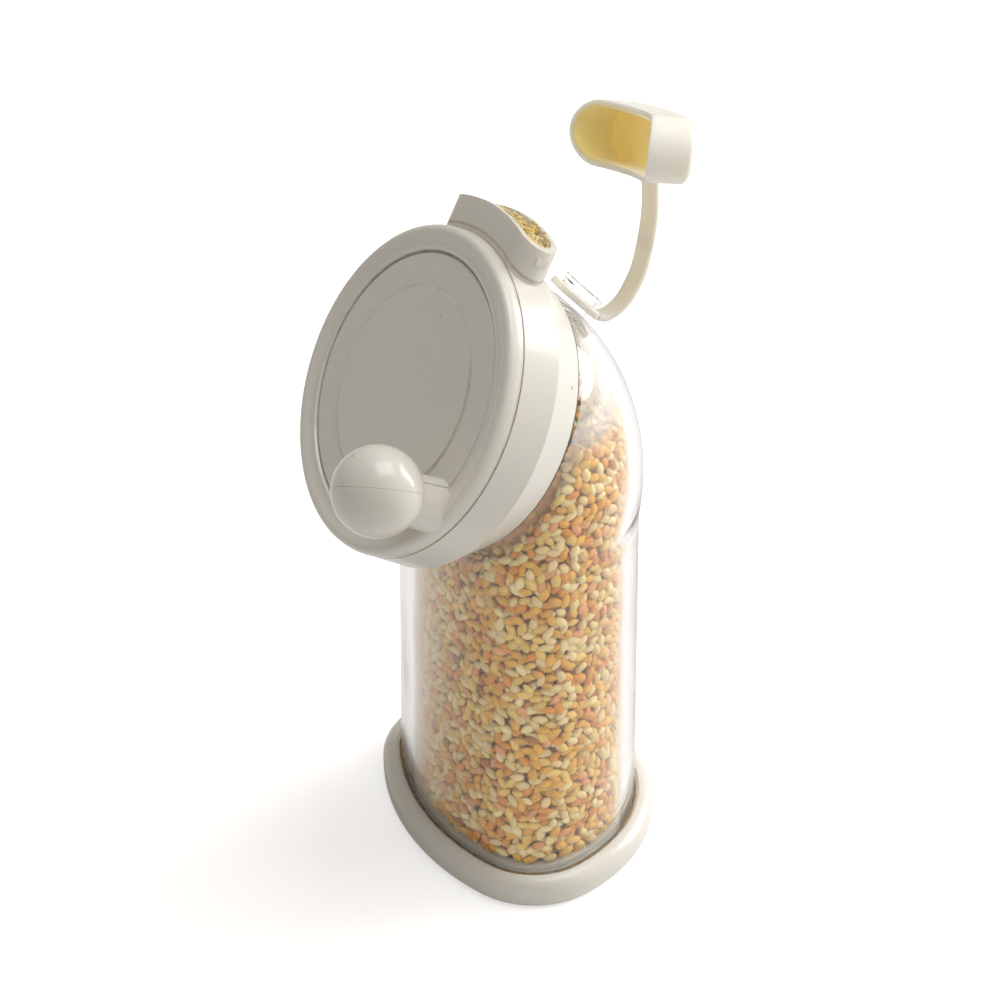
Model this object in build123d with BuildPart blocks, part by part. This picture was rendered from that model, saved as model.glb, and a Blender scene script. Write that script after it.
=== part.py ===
from build123d import *
import math
import os

os.makedirs("parts", exist_ok=True)

# Hand cranked sesame grinder, millimetres.
# +Z up, front of the object towards -Y, origin on the base's underside, 20.6 mm behind its front point.

# ---------------------------------------------------------------- footprint
# Oval outline as tangent arcs, walked by turning angle from the front point
FRONT_Y = 20.6            # front point of the base is at y = -FRONT_Y
FRONT_R, FRONT_END = 52.1, 24.8
CORNER_R, CORNER_END = 17.65, 100.9
SIDE_R, SIDE_END = 38.9, 116.1

# ---------------------------------------------------------------- base lid
BASE_H = 6.4
FOOT_INSET = 3.75         # container wall stands this far inside the base outline
LID_FLOOR = 2.0
PLUG_TOP = 6.2
PLUG_WALL = 1.5

# ---------------------------------------------------------------- container
WALL = 2.6
DRAFT = 0.01
BODY_BOTTOM = 2.4
BEND_Z = 76.4             # height where the tube starts to bend forward
BEND_Y = -16.71           # bend pivot, at the foot of the shoulder plane
BULGE = -0.4
BEND_STEPS = 4
NECK_R_OUT, NECK_R_IN = 24.3, 22.2
NECK_FRONT = 13.0
SHOULDER_R, SHOULDER = 26.4, 18.85

# ---------------------------------------------------------------- head axis
TILT = 31.3               # head axis above the horizontal, degrees
RIM_C = Vector(0, -19.04, 108.85)   # centre of the crank disc's rim
DISC_R = 31.2
SEAM = 1.64
STEP_R, STEP = 31.6, 9.3
TAIL_R, TAIL = 26.6, 18.5
WEB_FRONT, WEB_BACK = 10.5, 12.5
SLEEVE_END = 19.0

# ---------------------------------------------------------------- spout and its cap
HEAD_TURN = 7.5           # the head stands turned this far on the neck, so the spout leans to -X
SPOUT_L, SPOUT_W = 28.2, 8.2
SPOUT_DEPTH = 5.75        # middle of the spout behind the rim plane
SPOUT_TOP, SPOUT_ARCH = 37.5, 36.0
CHANNEL_L, CHANNEL_W = 25.4, 5.8
CAP_L, CAP_W = 31.2, 12.4
CAP_IN_L, CAP_IN_W = 29.2, 9.8
CAP_H, CAP_ARCH = 8.4, 37.0
CAP_IN_H, CAP_IN_ARCH = 7.2, 36.0
CAP_RIM_ARCH = 29.5
CAP_RIM_C = Vector(-5.54, 29.6, 145.6)     # middle of the open cap's rim
CAP_MOUTH = Vector(-0.0900, -0.9581, 0.2718).normalized()
CAP_LONG = Vector(0.9490, 0.0, 0.3142).normalized()
STRAP_T = 1.2
TAB_W, TAB_T, TAB_L = 5.2, 1.5, 13.2

# ---------------------------------------------------------------- crank and knob
POST_X, POST_Y = 23.46, -10.9
POST_R, POST_TOP = 5.0, 7.0
BALL_R, BALL_H = 8.4, 13.5
PIN_R = 2.0

# ---------------------------------------------------------------- planes
sin_t, cos_t = math.sin(math.radians(TILT)), math.cos(math.radians(TILT))
N = Vector(0, -cos_t, sin_t)          # out of the crank disc
U = Vector(0, sin_t, cos_t)           # up along the disc
head = Plane(origin=RIM_C, x_dir=(1, 0, 0), z_dir=N)
half = Plane(origin=RIM_C, x_dir=U, z_dir=(-1, 0, 0))   # x: radius, y: depth behind the rim
head_axis = Axis(RIM_C, N)
turn = math.radians(HEAD_TURN)
SPOUT_X = Vector(1, 0, 0) * math.cos(turn) + U * math.sin(turn)
SPOUT_UP = U * math.cos(turn) - Vector(1, 0, 0) * math.sin(turn)
turned = Plane(origin=RIM_C, x_dir=SPOUT_X, z_dir=N)


def oval(inset, steps=0):
    """Arc data of the footprint pulled in by inset, or points on it when steps is given."""
    p1, p2, p3 = (math.radians(a) for a in (FRONT_END, CORNER_END, SIDE_END))
    c0 = (0.0, -FRONT_Y + FRONT_R)
    c1 = (c0[0] + (FRONT_R - CORNER_R) * math.sin(p1), c0[1] - (FRONT_R - CORNER_R) * math.cos(p1))
    c2 = (c1[0] + (CORNER_R - SIDE_R) * math.sin(p2), c1[1] - (CORNER_R - SIDE_R) * math.cos(p2))
    back_r = SIDE_R + c2[0] / math.sin(p3)
    c3 = (0.0, c2[1] - (SIDE_R - back_r) * math.cos(p3))
    arcs = [(c0, FRONT_R, 0.0, FRONT_END), (c1, CORNER_R, FRONT_END, CORNER_END),
            (c2, SIDE_R, CORNER_END, SIDE_END), (c3, back_r, SIDE_END, 180.0)]
    if not steps:
        return [(c, r - inset, a, b) for c, r, a, b in arcs]
    points = []
    for i in range(steps):
        turn = 360.0 * i / steps
        half_turn = turn if turn <= 180 else 360 - turn
        side = 1 if turn <= 180 else -1
        c, r = next((c, r) for c, r, a, b in arcs if half_turn <= b + 1e-9)
        a = math.radians(half_turn)
        points.append((side * (c[0] + (r - inset) * math.sin(a)), c[1] - (r - inset) * math.cos(a)))
    return points


def oval_lines(inset):
    """Draw the closed footprint outline, pulled in by inset, in the active line builder."""
    for c, r, a, b in oval(inset):
        CenterArc(c, r, a - 90, b - a)
        CenterArc((-c[0], c[1]), r, 270 - b, b - a)


def tube_sections(inset):
    """Planes and points of the container's section, from its foot to the tilted shoulder."""
    sections = []
    count = 36
    for z in (BODY_BOTTOM, BEND_Z):
        flat = oval(FOOT_INSET + DRAFT * (z - BASE_H) + inset, count)
        sections.append((Plane.XY.offset(z), flat))
    base = oval(FOOT_INSET + DRAFT * (BEND_Z - BASE_H), count)
    near0, far0 = min(p[1] for p in base), max(p[1] for p in base)
    end = RIM_C - N * SHOULDER
    low = Vector(0, BEND_Y, BEND_Z)
    near1 = (end - U * SHOULDER_R - low).length
    far1 = near1 + 2 * SHOULDER_R
    last = 90 - TILT
    for k in range(1, BEND_STEPS + 1):
        t = k / BEND_STEPS
        angle = math.radians(last * t)
        w = t * t * (3 - 2 * t)
        near = (near0 - BEND_Y) * (1 - t) + near1 * t
        far = (far0 - BEND_Y) * (1 - t) + far1 * t + BULGE * math.sin(math.pi * t)
        pts = []
        for i, (x, y) in enumerate(base):
            turn = 2 * math.pi * i / count
            v = (y - near0) / (far0 - near0) * (1 - w) + (0.5 - 0.5 * math.cos(turn)) * w
            gx = x * (1 - w) + SHOULDER_R * math.sin(turn) * w
            nx, ny = math.sin(turn), -math.cos(turn)
            pts.append((gx - inset * nx, near + (far - near) * v - inset * ny))
        plane = Plane(origin=low, x_dir=(1, 0, 0), z_dir=(0, -math.sin(angle), math.cos(angle)))
        sections.append((plane, pts))
    return sections


# ---------------------------------------------------------------- dimensions placed on those planes
BOSS_AT = 19.2            # radius of the cage's screws
SHAFT_SQ, SHAFT_R = 5.0, 2.3
TEETH_FIXED, TEETH_TURNING = 18, 12
SPRING_WIRE, SPRING_R, SPRING_PITCH, SPRING_L = 0.7, 3.7, 1.2, 4.9
spout_plane = Plane(origin=RIM_C - N * SPOUT_DEPTH, x_dir=SPOUT_X, z_dir=SPOUT_UP)
LUG_W, LUG_L, LUG_TOP = 3.2, 8.6, 3.4
TAB_C = Vector(0, 15.3, 118.3)        # middle of the tab's underside
tab_plane = Plane(origin=TAB_C, x_dir=(1, 0, 0), z_dir=(0, 0.7585, 0.6517))
CAP_ACROSS = CAP_MOUTH.cross(CAP_LONG)
cap_plane = Plane(origin=CAP_RIM_C, x_dir=CAP_LONG, z_dir=CAP_MOUTH * -1)
cap_side = Plane(origin=CAP_RIM_C, x_dir=CAP_LONG, z_dir=CAP_LONG.cross(CAP_MOUTH * -1))
CAP_ATTACH = CAP_RIM_C - CAP_MOUTH * 5.2 - CAP_ACROSS * (CAP_W / 2 + 0.05)

# strap centre line as points, with its width there; it turns a little on its way up to the cap
strap_path = [(Vector(0, 20.3, 113.65), 3.6), (Vector(0, 21.9, 113.2), 3.6), (Vector(0, 23.9, 113.8), 3.7),
              (Vector(0, 25.7, 115.1), 3.9), (Vector(-0.2, 27.4, 117.0), 4.2), (Vector(-0.8, 29.6, 120.4), 4.6),
              (Vector(-1.5, 31.4, 126.0), 5.0), (Vector(-2.2, 32.5, 132.2), 5.2), (CAP_ATTACH, 5.2)]
STRAP_SPLIT = 6
strap_sections = []
for k, (p, w) in enumerate(strap_path):
    if k == 0:
        d = Vector(0, 0.78, -0.62)
    elif k == len(strap_path) - 1:
        d = CAP_ACROSS
    else:
        d = strap_path[k + 1][0] - strap_path[k - 1][0]
    d = d.normalized()
    wide = Vector(1, 0, 0) + (CAP_LONG - Vector(1, 0, 0)) * max(0, (k - 4) / 4)
    wide = (wide - d * wide.dot(d)).normalized()
    strap_sections.append((p, d, wide, w))


# ================================================================ container
# clear moulding: oval tube, bent forward at the top into a round neck for the head
with BuildPart() as container:
    for plane, pts in tube_sections(0)[:2]:
        with BuildSketch(plane):
            with BuildLine():
                Spline(*pts, periodic=True)
            make_face()
    loft(ruled=True)
    for plane, pts in tube_sections(0)[1:]:
        with BuildSketch(plane):
            with BuildLine():
                Spline(*pts, periodic=True)
            make_face()
    loft()
    with BuildSketch(head.offset(-NECK_FRONT)):
        Circle(NECK_R_OUT)
    extrude(amount=-8.0)
    # snap ridge on the neck
    with BuildSketch(half):
        with BuildLine():
            Polyline((NECK_R_OUT - 0.5, 13.6), (NECK_R_OUT + 0.35, 14.2), (NECK_R_OUT - 0.5, 14.8),
                     close=True)
        make_face()
    revolve(axis=head_axis)
    # lug on the shoulder, which the strap's tab hangs on
    with BuildSketch(tab_plane.offset(-2.2)):
        RectangleRounded(LUG_W, LUG_L, 0.9)
    extrude(amount=LUG_TOP + 2.2)
    with BuildSketch(tab_plane.offset(LUG_TOP - 1.1)):
        RectangleRounded(LUG_W + 0.9, LUG_L + 0.9, 1.2)
    extrude(amount=1.1)
    # hollow of the tube and of the bend
    for plane, pts in tube_sections(WALL)[:2]:
        with BuildSketch(plane):
            with BuildLine():
                Spline(*pts, periodic=True)
            make_face()
    loft(ruled=True, mode=Mode.SUBTRACT)
    for plane, pts in tube_sections(WALL)[1:]:
        with BuildSketch(plane):
            with BuildLine():
                Spline(*pts, periodic=True)
            make_face()
    loft(mode=Mode.SUBTRACT)
    with BuildSketch(head.offset(-NECK_FRONT + 0.1)):
        Circle(NECK_R_IN)
    extrude(amount=-11.0, mode=Mode.SUBTRACT)

container.part.label = "container"
export_step(container.part, "parts/container.step")

# ================================================================ base lid
# flanged foot that closes the bottom of the container and is pulled off to fill it
with BuildPart() as base_lid:
    with BuildSketch(Plane.XY):
        with BuildLine():
            oval_lines(0)
        make_face()
    extrude(amount=BASE_H)
    fillet(base_lid.faces().sort_by(Axis.Z)[-1].edges(), 2.7)
    fillet(base_lid.faces().sort_by(Axis.Z)[0].edges(), 1.7)
    # shallow step down from the rim's crest to the container
    with BuildSketch(Plane.XY.offset(BASE_H - 0.5)):
        with BuildLine():
            oval_lines(2.85)
        make_face()
    extrude(amount=BASE_H, mode=Mode.SUBTRACT)
    # seat of the container wall
    with BuildSketch(Plane.XY.offset(LID_FLOOR)):
        with BuildLine():
            oval_lines(FOOT_INSET - 0.3)
        make_face()
    extrude(amount=BASE_H, mode=Mode.SUBTRACT)
    # plug that goes up inside the container
    with BuildSketch(Plane.XY.offset(LID_FLOOR)):
        with BuildLine():
            oval_lines(FOOT_INSET + WALL + 0.4)
        make_face()
    extrude(amount=PLUG_TOP - LID_FLOOR)
    with BuildSketch(Plane.XY.offset(LID_FLOOR)):
        with BuildLine():
            oval_lines(FOOT_INSET + WALL + 0.4 + PLUG_WALL)
        make_face()
    extrude(amount=PLUG_TOP, mode=Mode.SUBTRACT)
    # groove of the sealing ring
    with BuildSketch(Plane.XY.offset(3.4)):
        with BuildLine():
            oval_lines(FOOT_INSET + WALL + 0.2)
        make_face()
        with BuildLine():
            oval_lines(FOOT_INSET + WALL + 0.9)
        make_face(mode=Mode.SUBTRACT)
    extrude(amount=1.6, mode=Mode.SUBTRACT)

base_lid.part.label = "base_lid"
export_step(base_lid.part, "parts/base_lid.step")

# ================================================================ sealing ring of the base lid
with BuildPart() as lid_seal:
    with BuildSketch(Plane.XY.offset(3.45)):
        with BuildLine():
            oval_lines(FOOT_INSET + WALL + 0.12)
        make_face()
        with BuildLine():
            oval_lines(FOOT_INSET + WALL + 0.86)
        make_face(mode=Mode.SUBTRACT)
    extrude(amount=1.5)

lid_seal.part.label = "lid_seal"
export_step(lid_seal.part, "parts/lid_seal.step")

# ================================================================ spout, outside and mouth arch
with BuildPart() as spout_blank:
    with BuildSketch(spout_plane.offset(20.0)):
        SlotOverall(SPOUT_L, SPOUT_W)
    extrude(amount=SPOUT_TOP - 19.0)
    with BuildSketch(turned.offset(2.0)):
        with Locations((0, SPOUT_TOP - SPOUT_ARCH)):
            Circle(SPOUT_ARCH)
    extrude(amount=-24.0, mode=Mode.INTERSECT)

# ================================================================ head housing
with BuildPart() as head_housing:
    with BuildSketch(half):
        with BuildLine():
            Polyline((0, SEAM), (DISC_R, SEAM), (STEP_R, STEP), (TAIL_R, TAIL), (18.0, TAIL),
                     (18.0, SLEEVE_END), (0, SLEEVE_END), close=True)
        make_face()
    revolve(axis=head_axis)
    add(spout_blank.part)
    # ground sesame chamber, grinding throat and burr seat
    with BuildSketch(half):
        with BuildLine():
            Polyline((0, 0), (29.0, 0), (29.3, WEB_FRONT), (18.5, WEB_FRONT), (17.5, 9.7), (14.0, 9.7),
                     (14.0, 10.5), (16.1, 10.5), (16.1, 22), (0, 22), close=True)
        make_face()
    revolve(axis=head_axis, mode=Mode.SUBTRACT)
    # socket round the container's neck
    with BuildSketch(half):
        with BuildLine():
            Polyline((18.0, WEB_BACK), (27.5, WEB_BACK), (24.9, TAIL + 0.1), (24.9, 22), (18.0, 22),
                     close=True)
        make_face()
    revolve(axis=head_axis, mode=Mode.SUBTRACT)
    # screw bosses of the burr cage
    with BuildSketch(head.offset(-WEB_BACK + 0.4)):
        with PolarLocations(BOSS_AT, 3, start_angle=90):
            Circle(2.4)
    extrude(amount=-(SLEEVE_END - WEB_BACK + 0.4))
    with BuildSketch(head.offset(-WEB_FRONT - 1.0)):
        Circle(16.1)
    extrude(amount=-8.0, mode=Mode.SUBTRACT)
    with BuildSketch(head.offset(-WEB_BACK - 1.0)):
        with PolarLocations(BOSS_AT, 3, start_angle=90):
            Circle(1.05)
    extrude(amount=-8.0, mode=Mode.SUBTRACT)
    # channel of the spout
    with BuildSketch(spout_plane.offset(26.0)):
        SlotOverall(CHANNEL_L, CHANNEL_W)
    extrude(amount=14.0, mode=Mode.SUBTRACT)
    # snap pads for the cap on both ends of the spout
    with BuildSketch(spout_plane.offset(31.9)):
        with Locations((SPOUT_L / 2 - 0.6, 0), (-SPOUT_L / 2 + 0.6, 0)):
            RectangleRounded(1.4, 3.0, 0.4)
    extrude(amount=1.3)

head_housing.part.label = "head_housing"
export_step(head_housing.part, "parts/head_housing.step")

# ================================================================ ring between neck and housing
with BuildPart() as neck_seal:
    with BuildSketch(half):
        with Locations((NECK_R_OUT + 0.8, 15.4)):
            Circle(0.75)
    revolve(axis=head_axis)

neck_seal.part.label = "neck_seal"
export_step(neck_seal.part, "parts/neck_seal.step")

# ================================================================ fixed burr, ceramic
with BuildPart() as fixed_burr:
    with BuildSketch(half):
        with BuildLine():
            Polyline((13.0, 10.6), (16.0, 10.6), (16.0, 18.9), (10.6, 18.9), (11.7, 13.8), close=True)
        make_face()
    revolve(axis=head_axis)
    for k in range(TEETH_FIXED):
        turn = 360.0 * k / TEETH_FIXED
        with BuildSketch(Plane(
                origin=RIM_C, x_dir=U.rotate(Axis((0, 0, 0), N), turn), z_dir=Vector(-1, 0, 0).rotate(
                    Axis((0, 0, 0), N), turn))):
            with BuildLine():
                Polyline((9.5, 14.2), (11.0, 14.2), (12.6, 19.5), (9.5, 19.5), close=True)
            make_face()
        extrude(amount=0.7, both=True, mode=Mode.SUBTRACT)

fixed_burr.part.label = "fixed_burr"
export_step(fixed_burr.part, "parts/fixed_burr.step")

# ================================================================ turning burr, ceramic
with BuildPart() as turning_burr:
    with BuildSketch(half):
        with BuildLine():
            Polyline((0, 7.4), (5.0, 7.4), (5.0, 8.4), (12.7, 8.4), (12.7, 9.9), (11.2, 13.6),
                     (6.6, 18.5), (0, 18.5), close=True)
        make_face()
    revolve(axis=head_axis)
    for k in range(TEETH_TURNING):
        turn = 360.0 * k / TEETH_TURNING
        with BuildSketch(Plane(origin=RIM_C, x_dir=U.rotate(Axis((0, 0, 0), N), turn),
                               z_dir=Vector(-1, 0, 0).rotate(Axis((0, 0, 0), N), turn))):
            with BuildLine():
                Polyline((14.0, 10.8), (11.9, 10.8), (9.6, 13.8), (5.4, 18.8), (14.0, 18.8), close=True)
            make_face()
        extrude(amount=0.6, both=True, mode=Mode.SUBTRACT)
    with BuildSketch(head.offset(-7.0)):
        Rectangle(SHAFT_SQ + 0.1, SHAFT_SQ + 0.1)
    extrude(amount=-13.0, mode=Mode.SUBTRACT)

turning_burr.part.label = "turning_burr"
export_step(turning_burr.part, "parts/turning_burr.step")

# ================================================================ drive shaft, steel
with BuildPart() as drive_shaft:
    with BuildSketch(head.offset(-2.4)):
        Rectangle(SHAFT_SQ, SHAFT_SQ)
    extrude(amount=-16.4)
    with BuildSketch(head.offset(-18.8)):
        Circle(SHAFT_R)
    extrude(amount=-11.4)
    with BuildSketch(head.offset(-30.2)):
        Circle(SHAFT_R - 0.3)
    extrude(amount=-5.0)
    chamfer(drive_shaft.faces().sort_by(head_axis)[0].edges(), 0.4)

drive_shaft.part.label = "drive_shaft"
export_step(drive_shaft.part, "parts/drive_shaft.step")

# ================================================================ spacer between disc and burr
with BuildPart() as spacer_washer:
    with BuildSketch(head.offset(-5.9)):
        Circle(6.5)
        Circle(3.65, mode=Mode.SUBTRACT)
    extrude(amount=-1.4)

spacer_washer.part.label = "spacer_washer"
export_step(spacer_washer.part, "parts/spacer_washer.step")

# ================================================================ burr cage with the shaft's bearing
with BuildPart() as burr_cage:
    with BuildSketch(head.offset(-SLEEVE_END - 0.1)):
        Circle(21.5)
        Circle(15.2, mode=Mode.SUBTRACT)
        with PolarLocations(0, 3, start_angle=30):
            SlotCenterToCenter(33.0, 3.0)
        Circle(5.2)
        Circle(3.55, mode=Mode.SUBTRACT)
        with PolarLocations(BOSS_AT, 3, start_angle=90):
            Circle(1.2, mode=Mode.SUBTRACT)
    extrude(amount=-1.8)
    with BuildSketch(head.offset(-SLEEVE_END - 1.9)):
        Circle(5.2)
        Circle(3.55, mode=Mode.SUBTRACT)
    extrude(amount=-2.2)

burr_cage.part.label = "burr_cage"
export_step(burr_cage.part, "parts/burr_cage.step")

# ================================================================ three screws of the cage
with BuildPart() as cage_screws:
    with BuildSketch(head.offset(-14.5)):
        with PolarLocations(BOSS_AT, 3, start_angle=90):
            Circle(1.0)
    extrude(amount=-6.5)
    with BuildSketch(head.offset(-20.95)):
        with PolarLocations(BOSS_AT, 3, start_angle=90):
            Circle(2.0)
    extrude(amount=-1.4)
    with BuildSketch(head.offset(-22.4)):
        with PolarLocations(BOSS_AT, 3, start_angle=90):
            Rectangle(2.4, 0.5)
            Rectangle(0.5, 2.4)
    extrude(amount=0.9, mode=Mode.SUBTRACT)

cage_screws.part.label = "cage_screws"
export_step(cage_screws.part, "parts/cage_screws.step")

# ================================================================ flanged bearing sleeve
with BuildPart() as shaft_bush:
    with BuildSketch(half):
        with BuildLine():
            Polyline((SHAFT_R + 0.06, 19.0), (3.5, 19.0), (3.5, 23.15), (4.9, 23.15), (4.9, 24.0),
                     (SHAFT_R + 0.06, 24.0), close=True)
        make_face()
    revolve(axis=head_axis)

shaft_bush.part.label = "shaft_bush"
export_step(shaft_bush.part, "parts/shaft_bush.step")

# ================================================================ spring that draws the burr back
with BuildPart() as burr_spring:
    with BuildLine():
        coil = Helix(SPRING_PITCH, SPRING_L, SPRING_R, center=RIM_C - N * (24.45 + SPRING_L), direction=N)
    with BuildSketch(Plane(origin=coil @ 0, z_dir=coil % 0)):
        Circle(SPRING_WIRE / 2)
    sweep(is_frenet=True)

burr_spring.part.label = "burr_spring"
export_step(burr_spring.part, "parts/burr_spring.step")

# ================================================================ washer and nut on the shaft's end
with BuildPart() as spring_washer:
    with BuildSketch(head.offset(-29.75)):
        Circle(4.7)
        Circle(SHAFT_R + 0.05, mode=Mode.SUBTRACT)
    extrude(amount=-0.7)

spring_washer.part.label = "spring_washer"
export_step(spring_washer.part, "parts/spring_washer.step")

with BuildPart() as lock_nut:
    with BuildSketch(head.offset(-30.5)):
        RegularPolygon(3.5, 6, major_radius=False)
        Circle(SHAFT_R - 0.25, mode=Mode.SUBTRACT)
    extrude(amount=-3.2)

lock_nut.part.label = "lock_nut"
export_step(lock_nut.part, "parts/lock_nut.step")

# ================================================================ cover over spring and nut
with BuildPart() as spring_cover:
    with BuildSketch(half):
        with BuildLine():
            Polyline((5.3, 21.0), (6.3, 21.0), (6.3, 35.8), (5.4, 37.2), (0, 37.2), (0, 36.2),
                     (4.9, 36.2), (5.3, 35.4), close=True)
        make_face()
    revolve(axis=head_axis)

spring_cover.part.label = "spring_cover"
export_step(spring_cover.part, "parts/spring_cover.step")

# ================================================================ crank disc with the knob's post
with BuildPart() as crank_disc:
    with BuildSketch(half):
        with BuildLine():
            Polyline((31.2, 1.3), (28.7, 1.3), (28.7, 4.2), (27.2, 4.2), (27.2, 1.0), (7.0, 1.0),
                     (7.0, 5.8), (0, 5.8), (0, -1.25), (19.2, -1.25), (19.7, -0.9), (25.5, -0.85),
                     (25.8, -0.5), (26.05, -0.5), (26.4, -1.15))
            Spline((26.4, -1.15), (27.8, -1.1), (28.9, -1.45), (29.8, -1.65), (30.6, -1.35),
                   (31.05, -0.5), (31.2, 0.4), (31.2, 1.3))
        make_face()
    revolve(axis=head_axis)
    # stiffening ribs behind the disc
    with BuildSketch(head.offset(-0.9)):
        with PolarLocations(0, 3, start_angle=0):
            Rectangle(54.6, 1.2)
    extrude(amount=-1.7)
    # post, a little wider at its foot
    with BuildSketch(head.offset(0.2)):
        with Locations((POST_X, POST_Y)):
            Circle(POST_R + 0.15)
    with BuildSketch(head.offset(POST_TOP)):
        with Locations((POST_X, POST_Y)):
            Circle(POST_R - 0.15)
    loft()
    with BuildSketch(head.offset(POST_TOP)):
        with Locations((POST_X, POST_Y)):
            Circle(PIN_R)
    extrude(amount=-7.5, mode=Mode.SUBTRACT)
    # socket of the shaft
    with BuildSketch(head.offset(-2.2)):
        Rectangle(SHAFT_SQ + 0.1, SHAFT_SQ + 0.1)
    extrude(amount=-5.0, mode=Mode.SUBTRACT)

crank_disc.part.label = "crank_disc"
export_step(crank_disc.part, "parts/crank_disc.step")

# ================================================================ knob pin, pressed into the post
knob = Plane(origin=RIM_C + Vector(POST_X, 0, 0) + U * POST_Y, x_dir=(1, 0, 0), z_dir=N)
knob_axis = Axis(knob.origin, N)
knob_half = Plane(origin=knob.origin, x_dir=U, z_dir=(1, 0, 0))    # x: radius, y: height out of the disc
with BuildPart() as knob_pin:
    with BuildSketch(knob_half):
        with BuildLine():
            Polyline((0, 0.9), (1.95, 0.9), (1.95, BALL_H - 1.0), (2.9, BALL_H - 0.6),
                     (2.9, BALL_H + 0.2), (2.0, BALL_H + 1.6), (0, BALL_H + 1.6), close=True)
        make_face()
    revolve(axis=knob_axis)
    # slit that lets the pin's head squeeze through the knob
    with BuildSketch(knob.offset(BALL_H - 3.0)):
        Rectangle(0.6, 8.0)
    extrude(amount=6.0, mode=Mode.SUBTRACT)

knob_pin.part.label = "knob_pin"
export_step(knob_pin.part, "parts/knob_pin.step")

# ================================================================ ball knob
with BuildPart() as ball_knob:
    with Locations(knob.offset(BALL_H)):
        Sphere(BALL_R)
    with BuildSketch(knob.offset(POST_TOP + 0.15)):
        Circle(9.0)
    extrude(amount=-4.0, mode=Mode.SUBTRACT)
    with BuildSketch(knob_half):
        with BuildLine():
            Polyline((0, POST_TOP - 2), (2.02, POST_TOP - 2), (2.02, BALL_H - 1.45),
                     (3.1, BALL_H - 0.9), (3.1, BALL_H + 2.2), (0, BALL_H + 2.2), close=True)
        make_face()
    revolve(axis=knob_axis, mode=Mode.SUBTRACT)

ball_knob.part.label = "ball_knob"
export_step(ball_knob.part, "parts/ball_knob.step")

# ================================================================ strap tab, slotted on the lug
with BuildPart() as strap_tab:
    with BuildSketch(tab_plane):
        RectangleRounded(TAB_W, TAB_L, 2.4)
        RectangleRounded(LUG_W + 0.2, LUG_L + 0.2, 0.95, mode=Mode.SUBTRACT)
    extrude(amount=TAB_T)
    fillet(strap_tab.faces().sort_by(Axis(tab_plane.origin, tab_plane.z_dir))[-1].outer_wire().edges(), 0.45)

strap_tab.part.label = "strap_tab"
export_step(strap_tab.part, "parts/strap_tab.step")

# ================================================================ strap from the tab to the cap
with BuildPart() as cap_strap:
    for p, d, x, w in strap_sections[:STRAP_SPLIT + 1]:
        with BuildSketch(Plane(origin=p, x_dir=x, z_dir=d)):
            RectangleRounded(w, STRAP_T, 0.4)
    loft()

cap_strap.part.label = "cap_strap"
export_step(cap_strap.part, "parts/cap_strap.step")

with BuildPart() as strap_end:
    for k, (p, d, x, w) in enumerate(strap_sections[STRAP_SPLIT:]):
        shift = d * 0.05 if k == 0 else Vector(0, 0, 0)
        with BuildSketch(Plane(origin=p + shift, x_dir=x, z_dir=d)):
            RectangleRounded(w, STRAP_T, 0.4)
    loft()

strap_end.part.label = "strap_end"
export_step(strap_end.part, "parts/strap_end.step")

# ================================================================ spout cap, open as it hangs
# hollow inside and outside as blanks in the cap's own plane, whose z runs from the rim to the closed end
with BuildPart() as cap_void:
    with BuildSketch(cap_plane.offset(-8.0)):
        SlotOverall(CAP_IN_L, CAP_IN_W)
    extrude(amount=8.0 + CAP_IN_H)
    with BuildSketch(cap_side.offset(12.0)):
        with Locations((0, CAP_IN_H - CAP_IN_ARCH)):
            Circle(CAP_IN_ARCH)
    extrude(amount=-24.0, mode=Mode.INTERSECT)

with BuildPart() as spout_cap:
    with BuildSketch(cap_plane.offset(-6.0)):
        SlotOverall(CAP_L, CAP_W)
    extrude(amount=6.0 + CAP_H)
    with BuildSketch(cap_side.offset(12.0)):
        with Locations((0, CAP_H - CAP_ARCH)):
            Circle(CAP_ARCH)
    extrude(amount=-24.0, mode=Mode.INTERSECT)
    fillet(spout_cap.faces().sort_by(Axis(cap_plane.origin, cap_plane.z_dir))[-1].edges(), 1.3)
    with BuildSketch(cap_side.offset(12.0)):
        with Locations((0, -CAP_RIM_ARCH)):
            Circle(CAP_RIM_ARCH)
    extrude(amount=-24.0, mode=Mode.SUBTRACT)
    add(cap_void.part, mode=Mode.SUBTRACT)

spout_cap.part.label = "spout_cap"
export_step(spout_cap.part, "parts/spout_cap.step")
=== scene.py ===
import bpy
import bmesh
import bisect
import math
import random
from mathutils import Matrix, Vector


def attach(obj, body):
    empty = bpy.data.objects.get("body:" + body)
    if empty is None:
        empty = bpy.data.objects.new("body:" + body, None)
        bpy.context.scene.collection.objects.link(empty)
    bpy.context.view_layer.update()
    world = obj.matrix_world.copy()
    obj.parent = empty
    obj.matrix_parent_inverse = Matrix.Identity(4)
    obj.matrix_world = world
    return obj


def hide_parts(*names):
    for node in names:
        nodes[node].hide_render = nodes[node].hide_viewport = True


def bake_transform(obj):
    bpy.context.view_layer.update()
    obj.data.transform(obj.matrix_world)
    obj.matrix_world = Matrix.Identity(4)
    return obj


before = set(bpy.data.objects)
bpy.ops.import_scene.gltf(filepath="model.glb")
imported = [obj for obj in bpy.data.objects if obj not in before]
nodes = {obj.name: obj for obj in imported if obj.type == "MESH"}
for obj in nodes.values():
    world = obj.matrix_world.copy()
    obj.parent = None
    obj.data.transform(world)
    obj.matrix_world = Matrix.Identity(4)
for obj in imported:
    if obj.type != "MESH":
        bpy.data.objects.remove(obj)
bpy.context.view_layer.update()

# Sizes are millimetres here and become metres where a mesh is made.
MM, PER_METRE = 0.001, 1000.0

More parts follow.
